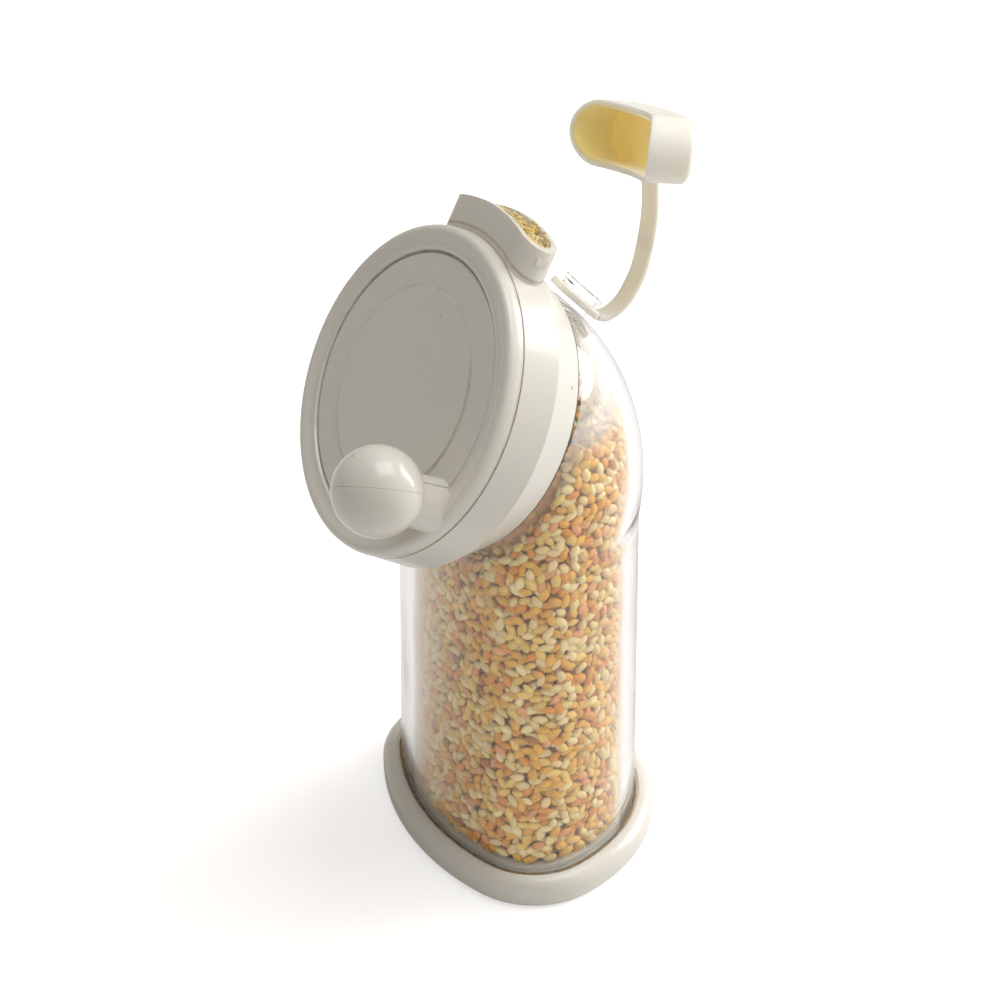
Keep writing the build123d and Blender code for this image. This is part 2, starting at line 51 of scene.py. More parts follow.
# ------------------------------------------------------------------ grinder's own measures
# the oval foot, from the front round to the back: each stretch's radius and the angle where it ends
FRONT_Y, FRONT_R, FRONT_END = 20.6, 52.1, 24.8
CORNER_R, CORNER_END = 17.65, 100.9
SIDE_R, SIDE_END = 38.9, 116.1
# the clear container: straight up to BEND_Z, then bent about BEND_Y into a round neck
BASE_H, FOOT_INSET, WALL, DRAFT = 6.4, 3.75, 2.6, 0.01
BODY_BOTTOM, BEND_Z, BEND_Y, BULGE = 2.4, 76.4, -16.71, -0.4
NECK_R_OUT, NECK_R_IN, NECK_FRONT = 24.3, 22.2, 13.0
SHOULDER_R, SHOULDER = 26.4, 18.85
EDGE, RIDGE = 0.35, 0.35                               # softened bottom edge, snap ridge on the neck
RING_POINTS = 96
# the head, by its disc's rim
TILT = math.radians(31.3)
RIM_C = Vector((0, -19.04, 108.85))
OUT = Vector((0, -math.cos(TILT), math.sin(TILT)))     # out of the crank disc
UP = Vector((0, math.sin(TILT), math.cos(TILT)))       # up along the disc
SPOUT_DEPTH, SPOUT_TURN = 5.75, math.radians(7.5)      # the head stands turned on its neck
SPOUT_ARCH, SPOUT_ARCH_FOOT = 36.0, 1.5                # radius of the spout's top, height of its centre
CHANNEL_HALF, CHANNEL_R = 9.8, 2.9                     # half the channel's straight length, its round ends
POST_X, POST_Y, BALL_H = 23.46, -10.9, 13.5
# what the seeds keep clear of: burr cage and spring cover, by their depth behind the rim
CAGE_BACK, COVER_R, COVER_BACK = 24.5, 8.2, 39.0
SEED_TOP, SEED_SPLIT, SEED_FLOOR = 99.5, 50.0, 7.1


def head(x, up, out):
    """A point measured from the middle of the disc's rim: sideways, up the disc, out of it."""
    return RIM_C + Vector((x, 0, 0)) + UP * up + OUT * out


def spout(x, up, out):
    """A point in the spout's own directions, which lean with the turned head."""
    c, s = math.cos(SPOUT_TURN), math.sin(SPOUT_TURN)
    return head(x * c - up * s, x * s + up * c, out)


def head_depth(p):
    """How far a point lies behind the rim's plane."""
    return -(p - RIM_C).dot(OUT)


# ------------------------------------------------------------------ meshes
def as_object(bm, name, material):
    """Put a bmesh into the scene as a named object with one material."""
    mesh = bpy.data.meshes.new(name)
    bm.to_mesh(mesh)
    bm.free()
    mesh.materials.append(material)
    piece = bpy.data.objects.new(name, mesh)
    bpy.context.scene.collection.objects.link(piece)
    return piece


def finish_mesh(bm, name, material, body="grinder", smooth=True, sharp=None):
    """Turn a bmesh in millimetres into a named piece that rides on a body."""
    bmesh.ops.remove_doubles(bm, verts=bm.verts, dist=1e-5)
    bmesh.ops.recalc_face_normals(bm, faces=bm.faces)
    bmesh.ops.scale(bm, vec=(MM, MM, MM), verts=bm.verts)
    for f in bm.faces:
        f.smooth = smooth
    if sharp is not None:
        for e in bm.edges:
            if len(e.link_faces) == 2 and e.calc_face_angle(0) > math.radians(sharp):
                e.smooth = False
    piece = as_object(bm, name, material)
    if body:
        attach(piece, body)
    return piece


def ring(bm, points):
    """A closed loop of edges through points."""
    verts = [bm.verts.new(p) for p in points]
    return [bm.edges.new((verts[i - 1], verts[i])) for i in range(len(verts))]


def skin(bm, rings, close=False):
    """Bridge neighbouring rings, and the last to the first when close is set."""
    loops = [ring(bm, r) for r in rings]
    pairs = list(zip(loops, loops[1:])) + ([(loops[-1], loops[0])] if close else [])
    for a, b in pairs:
        bmesh.ops.bridge_loops(bm, edges=a + b)
    return loops


def oval(inset, count):
    """Footprint pulled in by inset, as points by turning angle from the front point."""
    p1, p2, p3 = (math.radians(a) for a in (FRONT_END, CORNER_END, SIDE_END))
    c0 = (0.0, -FRONT_Y + FRONT_R)
    c1 = (c0[0] + (FRONT_R - CORNER_R) * math.sin(p1), c0[1] - (FRONT_R - CORNER_R) * math.cos(p1))
    c2 = (c1[0] + (CORNER_R - SIDE_R) * math.sin(p2), c1[1] - (CORNER_R - SIDE_R) * math.cos(p2))
    back_r = SIDE_R + c2[0] / math.sin(p3)
    c3 = (0.0, c2[1] - (SIDE_R - back_r) * math.cos(p3))
    arcs = [(c0, FRONT_R, FRONT_END), (c1, CORNER_R, CORNER_END), (c2, SIDE_R, SIDE_END), (c3, back_r, 180.0)]
    points = []
    for i in range(count):
        turn = 360.0 * i / count
        fold = min(turn, 360 - turn)
        side = 1 if turn <= 180 else -1
        c, r = next((c, r) for c, r, end in arcs if fold <= end + 1e-9)
        a = math.radians(fold)
        points.append((side * (c[0] + (r - inset) * math.sin(a)), c[1] - (r - inset) * math.cos(a)))
    return points


def tube_ring(height, inset, count=RING_POINTS):
    """Container section: a height over 1 is millimetres up the straight part, 0 to 1 a share of the bend."""
    if height > 1:
        flat = oval(FOOT_INSET + DRAFT * (height - BASE_H) + inset, count)
        return [Vector((x, y, height)) for x, y in flat]
    t = height
    base = oval(FOOT_INSET + DRAFT * (BEND_Z - BASE_H), count)
    near0, far0 = min(p[1] for p in base), max(p[1] for p in base)
    low = Vector((0, BEND_Y, BEND_Z))
    near1 = (RIM_C - OUT * SHOULDER - UP * SHOULDER_R - low).length
    far1 = near1 + 2 * SHOULDER_R
    angle = (math.pi / 2 - TILT) * t
    ray = Vector((0, math.cos(angle), math.sin(angle)))
    w = t * t * (3 - 2 * t)
    near = (near0 - BEND_Y) * (1 - t) + near1 * t
    far = (far0 - BEND_Y) * (1 - t) + far1 * t + BULGE * math.sin(math.pi * t)
    points = []
    for i, (x, y) in enumerate(base):
        turn = 2 * math.pi * i / count
        v = (y - near0) / (far0 - near0) * (1 - w) + (0.5 - 0.5 * math.cos(turn)) * w
        gx = x * (1 - w) + SHOULDER_R * math.sin(turn) * w
        points.append(low + Vector((gx - inset * math.sin(turn), 0, 0))
                      + ray * (near + (far - near) * v + inset * math.cos(turn)))
    return points


def head_ring(radius, depth):
    """Circle about the head's axis, its first point at the bottom."""
    turns = [2 * math.pi * i / RING_POINTS for i in range(RING_POINTS)]
    return [head(radius * math.sin(turn), -radius * math.cos(turn), -depth) for turn in turns]


# ------------------------------------------------------------------ shader nodes
def new_group(name, inputs, outputs):
    """A shader node group with named sockets, and its two ends."""
    group = bpy.data.node_groups.new(name, "ShaderNodeTree")
    for title, kind, value in inputs:
        s = group.interface.new_socket(title, in_out="INPUT", socket_type=kind)
        s.default_value = value
    for title, kind in outputs:
        group.interface.new_socket(title, in_out="OUTPUT", socket_type=kind)
    return group, group.nodes.new("NodeGroupInput"), group.nodes.new("NodeGroupOutput")


def add(tree, kind, **settings):
    """A new node, with sockets and settings given by name."""
    node = tree.nodes.new(kind)
    for key, value in settings.items():
        if key in node.inputs:
            node.inputs[key].default_value = value
        else:
            setattr(node, key, value)
    return node


def math_node(tree, operation, a, b=None, clamp=False):
    """The result of one sum on sockets or numbers."""
    node = tree.nodes.new("ShaderNodeMath")
    node.operation = operation
    node.use_clamp = clamp
    for socket, value in zip(node.inputs, (a, b)):
        if value is None:
            continue
        if isinstance(value, (int, float)):
            socket.default_value = value
        else:
            tree.links.new(value, socket)
    return node.outputs[0]


def blend_colour(tree, factor, a, b, mode="MIX"):
    """Colour b laid over colour a by factor."""
    node = tree.nodes.new("ShaderNodeMix")
    node.data_type = "RGBA"
    node.blend_type = mode
    for socket, value in ((node.inputs[0], factor), (node.inputs[6], a), (node.inputs[7], b)):
        if isinstance(value, (int, float, tuple)):
            socket.default_value = value
        else:
            tree.links.new(value, socket)
    return node.outputs[2]


def ramp(tree, factor, stops):
    """A colour or a grey value that follows factor through stops."""
    node = tree.nodes.new("ShaderNodeValToRGB")
    while len(node.color_ramp.elements) < len(stops):
        node.color_ramp.elements.new(0.5)
    for e, (at, value) in zip(node.color_ramp.elements, stops):
        e.position = at
        e.color = (value, value, value, 1) if isinstance(value, (int, float)) else value
    tree.links.new(factor, node.inputs[0])
    return node.outputs[0]


def object_place(tree):
    """Where a point lies on the object, in metres."""
    return add(tree, "ShaderNodeTexCoord").outputs["Object"]


def noise(tree, where, **settings):
    """The value of a noise texture read at where."""
    node = add(tree, "ShaderNodeTexNoise", **settings)
    tree.links.new(where, node.inputs["Vector"])
    return node.outputs[0]


def from_point(tree, point):
    """Where a point lies, measured from a given point in millimetres."""
    at = add(tree, "ShaderNodeVectorMath", operation="SUBTRACT")
    at.inputs[1].default_value = point * MM
    tree.links.new(object_place(tree), at.inputs[0])
    return at.outputs[0]


def along(tree, place, direction, scale=1.0):
    """How far place reaches along a direction, times scale."""
    dot = add(tree, "ShaderNodeVectorMath", operation="DOT_PRODUCT")
    dot.inputs[1].default_value = direction
    tree.links.new(place, dot.inputs[0])
    return math_node(tree, "MULTIPLY", dot.outputs["Value"], scale)


def bumped(tree, shader, height, strength, distance):
    """Give a shader's surface the relief of height."""
    lift = add(tree, "ShaderNodeBump", Strength=strength, Distance=distance)
    tree.links.new(height, lift.inputs["Height"])
    tree.links.new(lift.outputs[0], shader.inputs["Normal"])


def let_light_in(shader, weight, radius, scale):
    """Let light go a little way into a material."""
    shader.inputs["Subsurface Weight"].default_value = weight
    shader.inputs["Subsurface Radius"].default_value = radius
    shader.inputs["Subsurface Scale"].default_value = scale


def plastic_skin_group():
    """Moulded plastic: cloudy tone, fine scuffs, dark dust specks, dirt in hollows, worn crests."""
    group, gin, gout = new_group("plastic_skin", [
        ("Tone", "NodeSocketColor", (0.8, 0.8, 0.8, 1)), ("Dirt", "NodeSocketColor", (0.3, 0.2, 0.1, 1)),
        ("Cloud", "NodeSocketFloat", 0.04), ("Specks", "NodeSocketFloat", 0.5),
        ("Crevice", "NodeSocketFloat", 0.5), ("Roughness", "NodeSocketFloat", 0.25),
        ("Grain", "NodeSocketFloat", 0.1)],
        [("Color", "NodeSocketColor"), ("Roughness", "NodeSocketFloat"), ("Height", "NodeSocketFloat")])
    where = object_place(group)
    cloud = noise(group, where, Scale=60.0, Detail=3.0, Roughness=0.55)
    fine = noise(group, where, Scale=2600.0, Detail=4.0, Roughness=0.6)
    scuff = noise(group, where, Scale=420.0, Detail=6.0, Roughness=0.7, Distortion=1.5)
    dots = add(group, "ShaderNodeTexVoronoi", Scale=190.0)
    group.links.new(where, dots.inputs["Vector"])
    pick = add(group, "ShaderNodeTexWhiteNoise")
    group.links.new(dots.outputs["Position"], pick.inputs["Vector"])
    geometry = add(group, "ShaderNodeNewGeometry")
    # tone drifts a little over the moulding
    drift = math_node(group, "MULTIPLY", math_node(group, "SUBTRACT", cloud, 0.5), gin.outputs["Cloud"])
    shade = add(group, "ShaderNodeHueSaturation")
    group.links.new(gin.outputs["Tone"], shade.inputs["Color"])
    group.links.new(math_node(group, "ADD", drift, 1.0), shade.inputs["Value"])
    # a few small specks in the plastic
    near = ramp(group, dots.outputs["Distance"], [(0.0, 1.0), (0.055, 0.8), (0.1, 0.0)])
    chosen = math_node(group, "GREATER_THAN", pick.outputs["Value"], 0.93)
    speck = math_node(group, "MULTIPLY", math_node(group, "MULTIPLY", near, chosen), gin.outputs["Specks"],
                      True)
    spotted = blend_colour(group, speck, shade.outputs[0], gin.outputs["Dirt"])
    # dirt keeps to inner corners, crests are rubbed paler
    hollow = ramp(group, geometry.outputs["Pointiness"], [(0.40, 1.0), (0.48, 0.0)])
    crest = ramp(group, geometry.outputs["Pointiness"], [(0.53, 0.0), (0.62, 1.0)])
    dirt = math_node(group, "MULTIPLY", math_node(group, "MULTIPLY", hollow, gin.outputs["Crevice"]),
                     math_node(group, "ADD", scuff, 0.3), True)
    dirty = blend_colour(group, dirt, spotted, gin.outputs["Dirt"])
    rub = math_node(group, "MULTIPLY", gin.outputs["Crevice"], 0.4)
    rubbed = blend_colour(group, math_node(group, "MULTIPLY", crest, rub), dirty, (0.92, 0.91, 0.88, 1))
    group.links.new(rubbed, gout.inputs["Color"])
    # gloss varies with handling
    rough = math_node(group, "ADD", gin.outputs["Roughness"],
                      math_node(group, "MULTIPLY", math_node(group, "SUBTRACT", scuff, 0.5), 0.06))
    group.links.new(math_node(group, "ADD", rough, math_node(group, "MULTIPLY", dirt, 0.3), True),
                    gout.inputs["Roughness"])
    tall = math_node(group, "ADD", math_node(group, "MULTIPLY", fine, gin.outputs["Grain"]),
                     math_node(group, "MULTIPLY", cloud, 0.6))
    group.links.new(tall, gout.inputs["Height"])
    return group


skin_group = plastic_skin_group()


def placed_skin(tree, **values):
    """The plastic skin in a material, with its own values."""
    skin_node = tree.nodes.new("ShaderNodeGroup")
    skin_node.node_tree = skin_group
    for key, value in values.items():
        skin_node.inputs[key].default_value = value
    return skin_node


def plain_material(name):
    """A new material, its node tree and its main shader."""
    material = bpy.data.materials.new(name)
    material.use_nodes = True
    tree = material.node_tree
    return material, tree, tree.nodes["Principled BSDF"]


def head_place(tree):
    """Distance out of the rim's plane and distance from the head's axis, in millimetres."""
    place = from_point(tree, RIM_C)
    side = add(tree, "ShaderNodeVectorMath", operation="CROSS_PRODUCT")
    side.inputs[1].default_value = OUT
    tree.links.new(place, side.inputs[0])
    radius = add(tree, "ShaderNodeVectorMath", operation="LENGTH")
    tree.links.new(side.outputs[0], radius.inputs[0])
    return along(tree, place, OUT, PER_METRE), math_node(tree, "MULTIPLY", radius.outputs["Value"], PER_METRE)


def band(tree, value, low, high, soft_edge):
    """1 where value lies between low and high, fading over soft_edge."""
    centre, reach = (low + high) / 2, (high - low) / 2
    away = math_node(tree, "ABSOLUTE", math_node(tree, "SUBTRACT", value, centre))
    return math_node(tree, "DIVIDE", math_node(tree, "SUBTRACT", reach + soft_edge, away), soft_edge, True)


OUTWARD, RADIUS = 0, 1      # which of head_place's two distances a mark follows


def moulded(name, tone, dirt, rough, specks=0.5, crevice=0.5, grain=0.1, sheen=0.0, under=0.0, metal=0.0,
            marks=(), parting=None):
    """Moulded plastic; under is how much light goes in, marks are tinted lines about the head's axis, tan
    ones and dark ones of painted shade, parting is a point and a normal whose plane leaves a fine moulding
    line."""
    material, tree, shader = plain_material(name)
    g = placed_skin(tree, Tone=tone, Dirt=dirt, Cloud=CLOUD, Specks=specks, Crevice=crevice, Roughness=rough,
                    Grain=grain)
    colour = g.outputs["Color"]
    if marks:
        place = head_place(tree)
        mark_patches = noise(tree, object_place(tree), Scale=330.0, Detail=4.0, Roughness=0.65)
        patchy = ramp(tree, mark_patches, [(0.3, 0.35), (0.65, 1.0)])
        # each mark is laid in its tone: a tan line, or a dark line of painted shade
        for which, low, high, soft_edge, strength, soil_and_shade in marks:
            mask = math_node(tree, "MULTIPLY", band(tree, place[which], low, high, soft_edge), strength)
            colour = blend_colour(tree, math_node(tree, "MULTIPLY", mask, patchy), colour, soil_and_shade)
    height = g.outputs["Height"]
    if parting:
        point, normal = parting
        line = band(tree, along(tree, from_point(tree, point), normal, PER_METRE), -0.03, 0.03, 0.07)
        colour = blend_colour(tree, math_node(tree, "MULTIPLY", line, 0.45), colour, PARTING_TONE)
        height = math_node(tree, "SUBTRACT", height, math_node(tree, "MULTIPLY", line, 1.5))
    tree.links.new(colour, shader.inputs["Base Color"])
    tree.links.new(g.outputs["Roughness"], shader.inputs["Roughness"])
    bumped(tree, shader, height, 0.15, 0.0001)
    shader.inputs["Metallic"].default_value = metal
    shader.inputs["IOR"].default_value = 1.5
    if under:
        let_light_in(shader, under, (1.0, 0.8, 0.55), 0.0025)
    if sheen:
        shader.inputs["Coat Weight"].default_value = sheen
        shader.inputs["Coat Roughness"].default_value = 0.08
    return material


CREAM = (0.800, 0.777, 0.712, 1)
SOFT_CREAM = (0.890, 0.850, 0.760, 1)
TAN = (0.30, 0.19, 0.08, 1)
# painted shade: the dark tone of the lines at the disc's steps and at the housing's back edge
SHADE_OLIVE = (0.17, 0.16, 0.10, 1)
OIL_BROWN = (0.52, 0.38, 0.16, 1)
PARTING_TONE = (0.36, 0.31, 0.24, 1)
CLOUD = 0.05
shell = moulded("ivory_shell", CREAM, TAN, 0.24, specks=0.6, crevice=0.0, under=0.12, sheen=0.25)
# the tan ring is the seam by the disc; the dark band at the back edge is painted shade of the gap where the
# clear container comes in
housing_shell = moulded("ivory_housing", CREAM, TAN, 0.26, specks=0.8, crevice=0.0, under=0.12, sheen=0.25,
                        marks=((RADIUS, 32.0, 32.25, 0.3, 0.55, TAN),
                               (OUTWARD, -19.0, -18.3, 0.15, 0.8, SHADE_OLIVE)))
# painted shade: the dark lines at the ridge round the sunk face and at the middle plateau's step stand in for
# the shade of these steps; the tan tint lies over the face away from the ridge
disc_shell = moulded("ivory_disc", CREAM, TAN, 0.26, specks=0.9, crevice=0.0, under=0.12, sheen=0.25,
                     marks=((RADIUS, 25.8, 26.1, 0.15, 0.65, SHADE_OLIVE), (RADIUS, 19.3, 19.6, 0.2, 0.45, SHADE_OLIVE),
                            (OUTWARD, -1.5, -1.05, 0.2, 0.4, TAN)))
knob_shell = moulded("ivory_knob", CREAM, TAN, 0.20, specks=0.6, crevice=0.0, under=0.1, sheen=0.35,
                     marks=((OUTWARD, 7.1, 7.5, 0.35, 0.8, TAN),),
                     parting=(head(POST_X, POST_Y, BALL_H), Vector((-0.53, 0.36, 0.77)).normalized()))
soft = moulded("soft_cream_cap", SOFT_CREAM, OIL_BROWN, 0.33, specks=0.3, crevice=0.0, grain=0.15, under=0.8)
ceramic = moulded("burr_ceramic", (0.78, 0.77, 0.73, 1), (0.35, 0.26, 0.14, 1), 0.55, crevice=0.9, grain=0.5)
steel = moulded("turned_steel", (0.55, 0.55, 0.55, 1), (0.22, 0.2, 0.18, 1), 0.28, specks=0.1, metal=1.0)
bearing = moulded("bearing_plastic", (0.74, 0.73, 0.69, 1), TAN, 0.35)
inner = moulded("inner_cream", (0.72, 0.70, 0.62, 1), TAN, 0.38)
rubber = moulded("seal_rubber", (0.62, 0.60, 0.56, 1), (0.2, 0.17, 0.13, 1), 0.55, grain=0.4)


def clear_plastic(name, ior, ripple, rim):
    """Clear moulding with light haze and painted shade that greys it where seen at a slant; shadow rays pass
    to light the seeds.
    """
    material, tree, shader = plain_material(name)
    where = object_place(tree)
    haze = noise(tree, where, Scale=90.0, Detail=5.0, Roughness=0.6)
    wave = noise(tree, where, Scale=55.0, Detail=1.0, Roughness=0.3)
    tone = ramp(tree, haze, [(0.3, (0.965, 0.96, 0.955, 1)), (0.7, (0.99, 0.99, 0.985, 1))])
    # painted shade: the tone greys where the wall is seen at a slant, down to the last colour given, standing
    # in for the dark bands of the thick wall seen edge-on
    slant = add(tree, "ShaderNodeLayerWeight", Blend=0.5)
    slant_shade = ramp(tree, slant.outputs["Facing"], [(0.0, (1, 1, 1, 1)), (0.34, (0.96, 0.955, 0.945, 1)),
                                                (0.62, (0.74, 0.725, 0.715, 1)), (0.97, rim)])
    tree.links.new(blend_colour(tree, 1.0, tone, slant_shade, "MULTIPLY"), shader.inputs["Base Color"])
    tree.links.new(math_node(tree, "MULTIPLY", haze, 0.10), shader.inputs["Roughness"])
    bumped(tree, shader, wave, ripple, 0.0006)
    shader.inputs["Transmission Weight"].default_value = 1.0
    shader.inputs["IOR"].default_value = ior
    path = add(tree, "ShaderNodeLightPath")
    pass_on = add(tree, "ShaderNodeBsdfTransparent")
    pass_on.inputs[0].default_value = (0.93, 0.93, 0.92, 1)
    mixed = add(tree, "ShaderNodeMixShader")
    tree.links.new(path.outputs["Is Shadow Ray"], mixed.inputs[0])
    tree.links.new(shader.outputs[0], mixed.inputs[1])
    tree.links.new(pass_on.outputs[0], mixed.inputs[2])
    tree.links.new(mixed.outputs[0], tree.nodes["Material Output"].inputs["Surface"])
    return material


def seed_material():
    """Toasted seed: its own tone from the seed_tone attribute, mottled, with a slight oily gloss."""
    material, tree, shader = plain_material("toasted_seed")
    tone = add(tree, "ShaderNodeAttribute", attribute_name="seed_tone")
    where = object_place(tree)
    mottle = noise(tree, where, Scale=900.0, Detail=3.0, Roughness=0.6)
    pores = noise(tree, where, Scale=5200.0, Detail=2.0)
    value = ramp(tree, mottle, [(0.3, (0.93, 0.86, 0.74, 1)), (0.62, (1.0, 1.0, 1.0, 1))])
    mixed = blend_colour(tree, 1.0, tone.outputs["Color"], value, "MULTIPLY")
    tree.links.new(mixed, shader.inputs["Base Color"])
    rough = math_node(tree, "ADD", math_node(tree, "MULTIPLY", mottle, 0.25), 0.28)
    tree.links.new(rough, shader.inputs["Roughness"])
    bumped(tree, shader, pores, 0.25, 0.00008)
    shader.inputs["Specular IOR Level"].default_value = 0.35
    let_light_in(shader, 0.3, (1.0, 0.6, 0.3), 0.0008)
    return material


def bed_material():
    """Shaded seeds that lie further in, as dark cells."""
    material, tree, shader = plain_material("seed_bed_shade")
    cells = add(tree, "ShaderNodeTexVoronoi", Scale=480.0)
    tree.links.new(object_place(tree), cells.inputs["Vector"])
    tone = ramp(tree, cells.outputs["Distance"], [(0.1, (0.80, 0.46, 0.14, 1)), (0.7, (0.50, 0.22, 0.05, 1))])
    tree.links.new(tone, shader.inputs["Base Color"])
    tree.links.new(math_node(tree, "ADD", math_node(tree, "MULTIPLY", cells.outputs["Distance"], 0.2), 0.5),
                   shader.inputs["Roughness"])
    return material


def meal_material():
    """Ground sesame: yellow meal with orange hull and pale flakes."""
    material, tree, shader = plain_material("ground_sesame")
    flake = noise(tree, object_place(tree), Scale=1100.0, Detail=4.0, Roughness=0.7)
    tone = ramp(tree, flake, [(0.3, (0.82, 0.50, 0.10, 1)), (0.44, (0.90, 0.70, 0.25, 1)),
                              (0.56, (0.92, 0.83, 0.52, 1)), (0.72, (0.93, 0.90, 0.74, 1))])
    tree.links.new(tone, shader.inputs["Base Color"])
    tree.links.new(math_node(tree, "ADD", math_node(tree, "MULTIPLY", flake, 0.3), 0.35),
                   shader.inputs["Roughness"])
    bumped(tree, shader, flake, 0.6, 0.0003)
    return material


def film_material():
    """Pale seed dust that clings to the inside of the clear dome and to its foot, thicker where seen at a
    slant: partly dust, partly painted reflection haze.
    """
    material, tree, shader = plain_material("seed_dust_and_reflection_film")
    where = object_place(tree)
    place = add(tree, "ShaderNodeSeparateXYZ")
    tree.links.new(where, place.inputs[0])
    patch = noise(tree, where, Scale=130.0, Detail=4.0, Roughness=0.65)
    grit = noise(tree, where, Scale=1500.0, Detail=3.0, Roughness=0.6)
    high = ramp(tree, math_node(tree, "DIVIDE", place.outputs["Z"], 0.13),
                [(0.0, 0.02), (0.70, 0.02), (0.765, 0.14), (0.80, 0.66), (0.86, 0.88), (0.95, 0.55)])
    spread = ramp(tree, patch, [(0.30, 0.62), (0.62, 1.0)])
    grain = ramp(tree, grit, [(0.35, 0.7), (0.6, 1.0)])
    # thicker where seen at a slant: partly the dust seen through more of its depth, partly painted reflection
    # haze at the wall's edges
    slant = add(tree, "ShaderNodeLayerWeight", Blend=0.5)
    slant_dust_and_haze = ramp(tree, slant.outputs["Facing"], [(0.50, 0.0), (0.76, 0.16), (0.92, 0.42), (1.0, 0.60)])
    cover = math_node(tree, "MAXIMUM", math_node(tree, "MULTIPLY", high, spread), slant_dust_and_haze)
    cover = math_node(tree, "MULTIPLY", cover, grain, True)
    tree.links.new(cover, shader.inputs["Alpha"])
    tone = ramp(tree, patch, [(0.35, (0.80, 0.75, 0.66, 1)), (0.7, (0.82, 0.80, 0.76, 1))])
    let_light_in(shader, 0.6, (1.0, 0.95, 0.85), 0.004)
    tree.links.new(tone, shader.inputs["Base Color"])
    rough = math_node(tree, "ADD", math_node(tree, "MULTIPLY", grit, 0.2), 0.6)
    tree.links.new(rough, shader.inputs["Roughness"])
    return material


clear = clear_plastic("clear_moulding", 1.47, 0.12, (0.50, 0.495, 0.52, 1))
clear_thin = clear_plastic("clear_lug_moulding", 1.2, 0.05, (0.72, 0.72, 0.73, 1))
seed_skin = seed_material()
seed_bed_skin = bed_material()
meal = meal_material()
film = film_material()


# ------------------------------------------------------------------ clear container
def make_container():
    """Clear tube: up its outside, round the neck's lip and down its inside."""
    bm = bmesh.new()
    bend = [i / 20 for i in range(1, 21)]
    straight = [BODY_BOTTOM + EDGE, 8.0, 20.0, 34.0, 48.0, 60.0, 69.0, 74.0]
    rings = [tube_ring(BODY_BOTTOM, EDGE)] + [tube_ring(z, 0) for z in straight]
    rings += [tube_ring(BEND_Z, 0)] + [tube_ring(t, 0) for t in bend]
    neck = [(NECK_R_OUT, SHOULDER), (NECK_R_OUT, 14.9), (NECK_R_OUT + RIDGE, 14.2), (NECK_R_OUT, 13.5),
            (NECK_R_OUT - 0.4, NECK_FRONT), (NECK_R_IN + 0.3, NECK_FRONT), (NECK_R_IN, 13.4),
            (NECK_R_IN, SHOULDER)]
    rings += [head_ring(radius, depth) for radius, depth in neck]
    rings += [tube_ring(t, WALL) for t in reversed(bend)] + [tube_ring(BEND_Z, WALL)]
    rings += [tube_ring(z, WALL) for z in reversed(straight)] + [tube_ring(BODY_BOTTOM, WALL - EDGE)]
    skin(bm, rings, close=True)
    return finish_mesh(bm, "clear_container", clear, sharp=40)


TAB_MIDDLE = Vector((0, 15.3, 118.3))
TAB_NORMAL = Vector((0, 0.7585, 0.6517))


def tab_point(x, y, z):
    """A point measured from the strap tab's middle: across it, along it, above the container."""
    lengthwise = TAB_NORMAL.cross(Vector((1, 0, 0)))
    return TAB_MIDDLE + Vector((x, 0, 0)) + lengthwise * y + TAB_NORMAL * z


def rounded(w, l, r, steps=5):
    """Rounded rectangle as points."""
    points = []
    for cx, cy, a0 in ((w / 2 - r, l / 2 - r, 0), (-w / 2 + r, l / 2 - r, 90), (-w / 2 + r, -l / 2 + r, 180),
                       (w / 2 - r, -l / 2 + r, 270)):
        for i in range(steps + 1):
            a = math.radians(a0 + 90 * i / steps)
            points.append((cx + r * math.cos(a), cy + r * math.sin(a)))
    return points


def make_lug():
    """Clear lug on the shoulder that the strap's tab is slotted on, with a sunk window in its head."""
    bm = bmesh.new()
    # width, length, corner radius and height of each level
    levels = [(3.2, 8.6, 0.9, -0.9), (3.2, 8.6, 0.9, 2.2), (4.1, 9.5, 1.2, 2.4), (4.1, 9.5, 1.2, 3.15),
              (3.7, 9.1, 1.1, 3.4), (2.4, 7.8, 0.7, 3.4), (2.2, 7.6, 0.6, 3.0)]
    loops = skin(bm, [[tab_point(x, y, z) for x, y in rounded(w, l, r)] for w, l, r, z in levels])
    bmesh.ops.holes_fill(bm, edges=loops[0] + loops[-1], sides=0)
    return finish_mesh(bm, "clear_lug", clear_thin, sharp=35)


container = make_container()
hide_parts("container")
make_lug()


# ------------------------------------------------------------------ sesame seeds in the container
# toasted tones and how many seeds in a hundred have each
SEED_TONES = [((0.93, 0.74, 0.37), 34), ((0.84, 0.47, 0.06), 26), ((0.78, 0.33, 0.03), 15),
              ((0.89, 0.62, 0.17), 17), ((0.84, 0.40, 0.17), 6), ((0.46, 0.19, 0.03), 2)]
# layers against the wall: distance in from it, gap between seeds, tries, how far a seed leans
SEED_LAYERS = ((1.15, 1.58, 40000, 0.17), (1.9, 1.62, 26000, 0.5), (2.8, 1.8, 14000, 0.5))
SEED_PROFILE = [(-1.55, 0.0), (-1.35, 0.48), (-0.75, 0.88), (0.1, 0.98), (0.95, 0.62), (1.65, 0.0)]
SEED_SIDES, SEED_FLATNESS = 7, 0.70
SEED_CELL = 2.0


